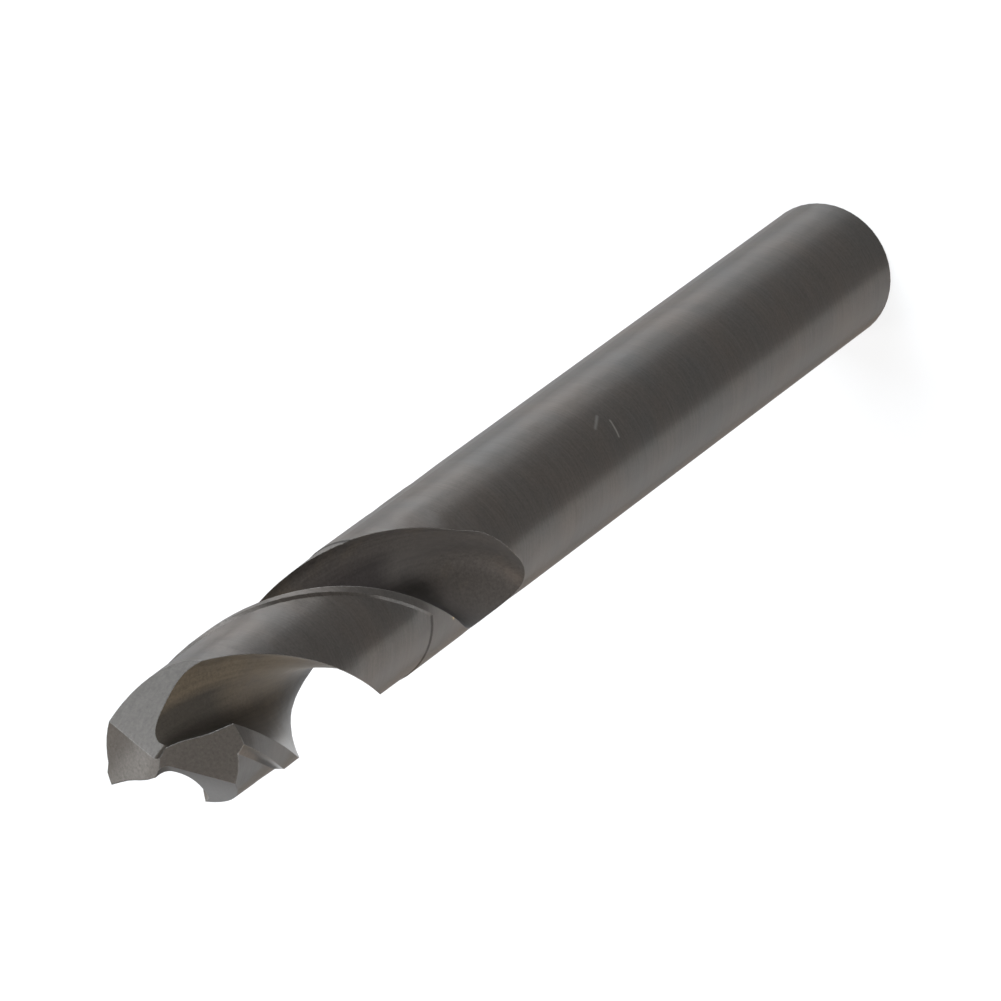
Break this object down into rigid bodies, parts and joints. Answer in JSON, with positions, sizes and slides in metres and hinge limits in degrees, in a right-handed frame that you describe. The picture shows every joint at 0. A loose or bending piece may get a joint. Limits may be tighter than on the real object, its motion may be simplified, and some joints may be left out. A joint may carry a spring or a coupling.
{
  "type": "stub drill bit",
  "caption": "Short twist drill ground from one round steel bar, with a plain straight shank, helical flutes, narrow margins and a split point.",
  "frame": {"origin": "centre of the flat shank end", "axes": "+Z along the drill's axis from the shank end up to the point; the two cutting lips run along Y"},
  "size_m": [0.006, 0.006, 0.066],
  "materials": {
    "high_speed_steel": "ground, satin"
  },
  "bodies": {
    "root": {"drill_bit": "high_speed_steel"}
  },
  "joints": []
}
